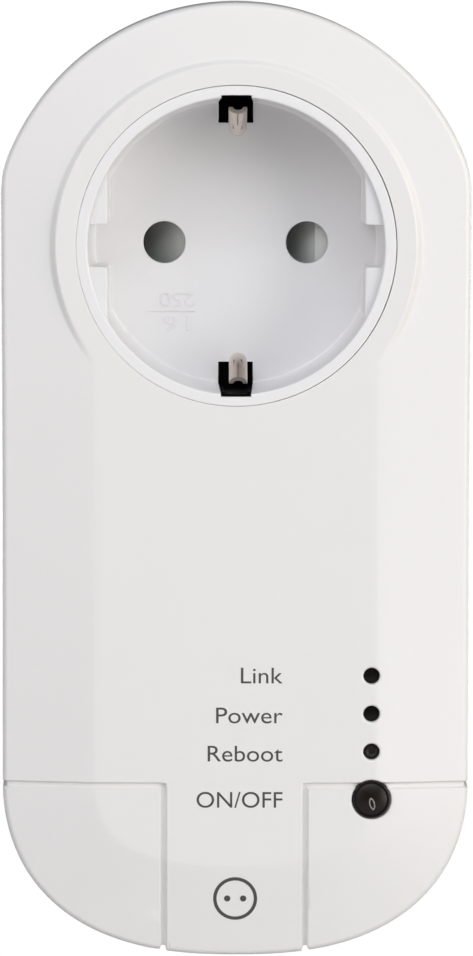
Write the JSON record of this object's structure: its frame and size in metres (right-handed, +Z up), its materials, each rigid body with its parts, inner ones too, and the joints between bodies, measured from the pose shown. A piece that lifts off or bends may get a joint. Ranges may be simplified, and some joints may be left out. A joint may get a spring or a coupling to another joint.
{
  "type": "plug-in network adapter with pass-through socket",
  "caption": "White plug-in mains adapter with rounded ends, a recessed pass-through socket in its face, status lights, push-buttons and an earthed plug behind.",
  "frame": {"origin": "centre of the plug's end face, on the common axis of plug and socket", "axes": "+Z up along the body towards its round socket end; +Y along the plug pins, into the wall; the face looks along -Y"},
  "size_m": [0.0624, 0.0763, 0.1263],
  "materials": {
    "shell_white": "satin white moulded ABS",
    "insert_white": "semi-matt cool white thermoset",
    "black_plastic": "black moulded plastic",
    "smoked_lens": "glossy smoked dark plastic",
    "shutter_grey": "grey acetal",
    "spring_steel": "nickel-plated spring steel",
    "brass": "rolled brass strip",
    "nickel": "bright nickel plating",
    "board_green": "green solder resist",
    "relay_blue": "dark blue relay case",
    "tape_amber": "amber winding tape",
    "sleeve_dark": "dark shrink sleeve",
    "film_yellow": "yellow potted case",
    "varistor_blue": "blue epoxy coating",
    "wire_brown": "brown cable insulation",
    "wire_black": "black cable insulation",
    "wire_blue": "blue cable insulation"
  },
  "bodies": {
    "housing": {"front_shell": "shell_white", "rear_shell": "shell_white", "socket_insert": "insert_white", "shutter_spring": "spring_steel", "contact_carrier": "black_plastic", "line_contact": "brass", "neutral_contact": "brass", "earth_bracket": "spring_steel", "plug_base": "shell_white", "line_pin": "nickel", "neutral_pin": "nickel", "plug_earth_strap": "nickel", "earth_rivet": "spring_steel", "line_busbar": "brass", "neutral_busbar": "brass", "main_board": "board_green", "relay": "relay_blue", "transformer": "tape_amber", "electrolytic_capacitor_1": "sleeve_dark", "electrolytic_capacitor_2": "sleeve_dark", "film_capacitor": "film_yellow", "bridge_rectifier": "black_plastic", "fuse": "wire_brown", "varistor": "varistor_blue", "network_module": "board_green", "shield_can": "nickel", "link_light": "smoked_lens", "power_light": "smoked_lens", "link_lens": "smoked_lens", "power_lens": "smoked_lens", "on_off_switch": "black_plastic", "reboot_switch": "black_plastic", "housing_screw_1": "spring_steel", "housing_screw_2": "spring_steel", "housing_screw_3": "spring_steel", "housing_screw_4": "spring_steel", "board_screw_1": "spring_steel", "board_screw_2": "spring_steel", "wire_line_in": "wire_brown", "wire_line_out": "wire_black", "wire_neutral": "wire_blue"},
    "on_off_button": {"on_off_button": "smoked_lens"},
    "on_off_plunger": {"on_off_plunger": "black_plastic"},
    "reboot_button": {"reboot_button": "black_plastic"},
    "reboot_plunger": {"reboot_plunger": "black_plastic"},
    "shutter": {"socket_shutter": "shutter_grey"}
  },
  "joints": [
    {"name": "on_off_button_press", "type": "slide", "parent": "housing", "child": "on_off_button", "axis": [0, 1, 0], "range_m": [0, 0.0005], "stiffness_N_per_m": 1500, "springref_m": -0.0002},
    {"name": "on_off_plunger_press", "type": "slide", "parent": "housing", "child": "on_off_plunger", "axis": [0, 1, 0], "range_m": [0, 0.00025]},
    {"name": "reboot_button_press", "type": "slide", "parent": "housing", "child": "reboot_button", "axis": [0, 1, 0], "range_m": [0, 0.0005], "stiffness_N_per_m": 1500, "springref_m": -0.0002},
    {"name": "reboot_plunger_press", "type": "slide", "parent": "housing", "child": "reboot_plunger", "axis": [0, 1, 0], "range_m": [0, 0.00025]},
    {"name": "shutter_slide", "type": "slide", "parent": "housing", "child": "shutter", "axis": [1, 0, 0], "range_m": [0, 0.0061], "stiffness_N_per_m": 100, "springref_m": -0.004, "deforming": ["shutter_spring"]}
  ],
  "couplings": [
    {"joint": "on_off_plunger_press", "follows": "on_off_button_press", "ratio": 0.5},
    {"joint": "reboot_plunger_press", "follows": "reboot_button_press", "ratio": 0.5}
  ]
}
